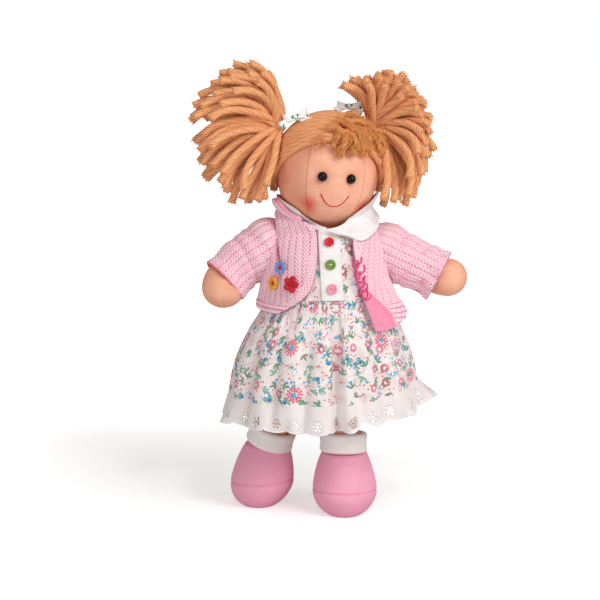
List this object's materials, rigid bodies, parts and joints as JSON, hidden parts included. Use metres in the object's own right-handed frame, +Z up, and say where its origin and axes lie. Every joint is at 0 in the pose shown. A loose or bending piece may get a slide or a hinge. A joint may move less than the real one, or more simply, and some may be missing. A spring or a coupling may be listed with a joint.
{
  "type": "rag doll",
  "caption": "Standing stuffed cloth doll with yarn hair in two bunches, floral dress with lace edging, open knitted cardigan and soft boots; head, arms, legs and body bend.",
  "frame": {"origin": "on the floor, under the middle of the doll's outline", "axes": "+Z up, the doll faces -Y, +X on the viewer's right"},
  "size_m": [0.1743, 0.1098, 0.2753],
  "materials": {
    "skin_cloth": "woven cotton",
    "yarn_hair": "twisted woollen yarn",
    "eye_bead": "glossy bead",
    "ribbon": "printed satin ribbon",
    "floral_cotton": "printed cotton",
    "white_cotton": "woven cotton",
    "lace": "eyelet lace",
    "pink_knit": "ribbed knit",
    "boot_cloth": "woven cotton",
    "button_red": "semi-gloss",
    "button_green": "semi-gloss",
    "button_pink": "semi-gloss",
    "crochet_blue": "crochet cotton",
    "crochet_yellow": "crochet cotton",
    "crochet_red": "crochet cotton"
  },
  "bodies": {
    "torso": {"torso": "skin_cloth", "dress_bodice": "floral_cotton", "placket": "white_cotton", "button_red": "button_red", "button_green": "button_green", "button_pink": "button_pink", "collar_left": "white_cotton", "collar_right": "white_cotton", "skirt": "floral_cotton", "lace_edging": "lace", "cardigan": "pink_knit", "flower_blue": "crochet_blue", "flower_yellow": "crochet_yellow", "flower_red": "crochet_red"},
    "neck": {"neck": "skin_cloth"},
    "head": {"head": "skin_cloth", "eye_left": "eye_bead", "eye_right": "eye_bead", "hair_cap": "yarn_hair", "fringe": "yarn_hair", "bow_left": "ribbon", "bow_right": "ribbon", "hair_tie_left": "ribbon", "hair_tie_right": "ribbon"},
    "bunch_left": {"bunch_left": "yarn_hair"},
    "bunch_right": {"bunch_right": "yarn_hair"},
    "arm_left": {"arm_left": "skin_cloth", "sleeve_left": "pink_knit"},
    "arm_right": {"arm_right": "skin_cloth", "sleeve_right": "pink_knit"},
    "lower_body": {"lower_body": "skin_cloth"},
    "leg_left": {"leg_left": "skin_cloth", "sock_cuff_left": "white_cotton", "boot_left": "boot_cloth"},
    "leg_right": {"leg_right": "skin_cloth", "sock_cuff_right": "white_cotton", "boot_right": "boot_cloth"}
  },
  "joints": [
    {"name": "head_turn", "type": "hinge", "parent": "torso", "child": "neck", "pos_m": [0.0013, 0.002, 0.2113], "axis": [0.1045, 0, 0.9945], "range_deg": [-50, 30]},
    {"name": "head_nod", "type": "hinge", "parent": "neck", "child": "head", "pos_m": [0.00045, 0.002, 0.20318], "axis": [0.9779, 0.1822, -0.1028], "range_deg": [-10, 12]},
    {"name": "bunch_left_swing", "type": "hinge", "parent": "head", "child": "bunch_left", "pos_m": [-0.02955, -0.0007, 0.2411], "axis": [0, 1, 0], "range_deg": [-25, 12], "deforming": ["bunch_left"]},
    {"name": "bunch_right_swing", "type": "hinge", "parent": "head", "child": "bunch_right", "pos_m": [0.0306, 0.0079, 0.2385], "axis": [0, -1, 0], "range_deg": [-25, 12], "deforming": ["bunch_right"]},
    {"name": "shoulder_left", "type": "hinge", "parent": "torso", "child": "arm_left", "pos_m": [-0.0345, 0.004, 0.1655], "axis": [0, 1, 0], "range_deg": [-5, 70]},
    {"name": "shoulder_right", "type": "hinge", "parent": "torso", "child": "arm_right", "pos_m": [0.036, 0.005, 0.163], "axis": [0, -1, 0], "range_deg": [-20, 55]},
    {"name": "body_fold", "type": "hinge", "parent": "torso", "child": "lower_body", "pos_m": [0.0006, 0.005, 0.108], "axis": [-1, 0, 0], "range_deg": [0, 65], "deforming": ["skirt", "lace_edging"]},
    {"name": "hip_left", "type": "hinge", "parent": "lower_body", "child": "leg_left", "pos_m": [-0.015, 0.006, 0.086], "axis": [-1, 0, 0], "range_deg": [-25, 30]},
    {"name": "hip_right", "type": "hinge", "parent": "lower_body", "child": "leg_right", "pos_m": [0.013, 0.005, 0.086], "axis": [-1, 0, 0], "range_deg": [-25, 30]}
  ]
}
